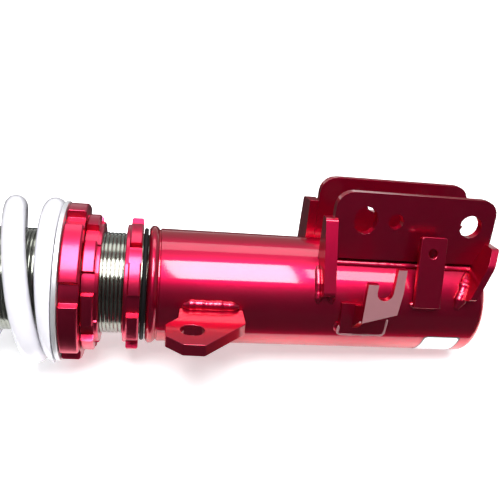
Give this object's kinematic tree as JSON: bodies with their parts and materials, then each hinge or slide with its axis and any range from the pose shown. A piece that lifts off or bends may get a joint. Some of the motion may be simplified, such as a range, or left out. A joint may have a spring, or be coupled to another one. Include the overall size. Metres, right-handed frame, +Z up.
{
  "type": "strut coilover",
  "caption": "Height-adjustable strut coilover: threaded damper, coil spring, castellated lock rings, knuckle bracket and camber-adjustable pillow-ball top mount.",
  "frame": {"origin": "centre of the strut bracket's flat lower end face", "axes": "the strut lies down as pictured: the strut axis runs up the strut along -X and tilts 4.07 degrees up in Z, because the lower end's edge and the top plate's edge touch one level plane; +Z is up and the knuckle ears stand up, leaning 18 degrees towards +Y"},
  "size_m": [0.506, 0.1248, 0.1241],
  "materials": {
    "candy_paint": "candy-red gloss over a metallic base",
    "red_anodised": "red anodised, machined",
    "white_powder_coat": "gloss white powder coat",
    "nickel_plate": "bright plated thread",
    "bright_steel": "bright zinc",
    "hard_chrome": "ground hard chrome",
    "machined_alloy": "turned",
    "black_zinc": "black oxide",
    "black_rubber": "matt",
    "bump_foam": "microcellular polyurethane foam",
    "ptfe_liner": "bronze-filled PTFE"
  },
  "bodies": {
    "bracket": {"bracket_tube": "candy_paint", "bracket_end_cap": "candy_paint", "knuckle_ear_front": "candy_paint", "knuckle_ear_rear": "candy_paint", "drop_link_tab": "candy_paint", "brake_hose_bracket": "candy_paint", "sensor_wire_bracket": "candy_paint", "dust_o_ring": "black_rubber"},
    "lower_ring": {"lower_lock_ring": "red_anodised"},
    "damper": {"damper_body": "nickel_plate", "base_plug": "bright_steel", "gas_valve_screw": "bright_steel", "rod_guide": "machined_alloy", "guide_bush": "ptfe_liner", "rod_seal": "black_rubber", "gland_nut": "red_anodised", "rod_wiper": "black_rubber"},
    "gas_piston": {"floating_piston": "machined_alloy", "floating_piston_ring": "black_rubber"},
    "perch_washer": {"spring_thrust_washer": "bright_steel", "coil_spring": "white_powder_coat"},
    "perch": {"spring_perch_collar": "red_anodised"},
    "perch_lock": {"perch_lock_ring": "red_anodised"},
    "rod": {"piston_rod": "hard_chrome", "damper_piston": "machined_alloy", "piston_band": "ptfe_liner", "compression_shims": "bright_steel", "rebound_shims": "bright_steel", "piston_nut": "bright_steel", "bump_stop": "bump_foam", "dust_boot": "black_rubber", "upper_spring_washer": "bright_steel", "upper_spring_seat": "red_anodised", "lower_ball_spacer": "bright_steel", "upper_ball_spacer": "bright_steel", "pillow_ball": "hard_chrome", "rod_top_nut": "black_zinc"},
    "needle": {"adjuster_needle": "bright_steel"},
    "knob": {"damping_adjuster_knob": "red_anodised"},
    "liner": {"ball_liner": "ptfe_liner"},
    "race": {"outer_race": "bright_steel"},
    "slider": {"bearing_housing": "red_anodised", "snap_ring": "black_zinc", "clamp_bolt_1": "black_zinc", "clamp_bolt_2": "black_zinc", "clamp_bolt_3": "black_zinc", "clamp_bolt_4": "black_zinc"},
    "plate": {"top_plate": "red_anodised", "body_stud_1": "bright_steel", "body_stud_2": "bright_steel", "body_stud_3": "bright_steel", "stud_nut_1": "black_zinc", "stud_nut_2": "black_zinc", "stud_nut_3": "black_zinc"}
  },
  "joints": [
    {"name": "lower_ring_turn", "type": "hinge", "parent": "bracket", "child": "lower_ring", "pos_m": [-0.18553, 0, 0.01319], "axis": [-0.9975, 0, 0.0709], "range_deg": [0, 45]},
    {"name": "ride_height", "type": "slide", "parent": "bracket", "child": "damper", "axis": [-0.9975, 0, 0.0709], "range_m": [-0.006, 0.04]},
    {"name": "perch_height", "type": "slide", "parent": "damper", "child": "perch_washer", "axis": [-0.9975, 0, 0.0709], "range_m": [-0.004, 0]},
    {"name": "perch_turn", "type": "hinge", "parent": "perch_washer", "child": "perch", "pos_m": [-0.21446, 0, 0.01524], "axis": [-0.9975, 0, 0.0709], "range_deg": [-721, 0]},
    {"name": "perch_lock_turn", "type": "hinge", "parent": "perch_washer", "child": "perch_lock", "pos_m": [-0.20548, 0, 0.01461], "axis": [-0.9975, 0, 0.0709], "range_deg": [-721, 0]},
    {"name": "strut_travel", "type": "slide", "parent": "damper", "child": "rod", "axis": [0.9975, 0, -0.0709], "range_m": [0, 0.072], "stiffness_N_per_m": 58800, "deforming": ["coil_spring", "dust_boot"]},
    {"name": "gas_piston_slide", "type": "slide", "parent": "damper", "child": "gas_piston", "axis": [0.9975, 0, -0.0709], "range_m": [0, 0.018]},
    {"name": "adjuster_turn", "type": "hinge", "parent": "rod", "child": "knob", "pos_m": [-0.49475, 0, 0.03517], "axis": [-0.9975, 0, 0.0709], "range_deg": [-1081, 0]},
    {"name": "needle_slide", "type": "slide", "parent": "rod", "child": "needle", "axis": [-0.9975, 0, 0.0709], "range_m": [-0.003, 0]},
    {"name": "mount_tilt_x", "type": "hinge", "parent": "rod", "child": "liner", "pos_m": [-0.45086, 0, 0.03205], "axis": [0, 1, 0], "range_deg": [-10, 10]},
    {"name": "mount_tilt_y", "type": "hinge", "parent": "liner", "child": "race", "pos_m": [-0.45086, 0, 0.03205], "axis": [-0.0709, 0, -0.9975], "range_deg": [-10, 10]},
    {"name": "steer_turn", "type": "hinge", "parent": "race", "child": "slider", "pos_m": [-0.45086, 0, 0.03205], "axis": [-0.9975, 0, 0.0709], "range_deg": [-45, 45]},
    {"name": "camber_slide", "type": "slide", "parent": "slider", "child": "plate", "axis": [0, 1, 0], "range_m": [-0.006, 0.006]}
  ],
  "couplings": [
    {"joint": "perch_turn", "follows": "perch_height", "rad_per_m": 3141.6},
    {"joint": "perch_lock_turn", "follows": "perch_height", "rad_per_m": 3141.6},
    {"joint": "gas_piston_slide", "follows": "strut_travel", "ratio": 0.22873},
    {"joint": "adjuster_turn", "follows": "needle_slide", "rad_per_m": 6283.2}
  ]
}
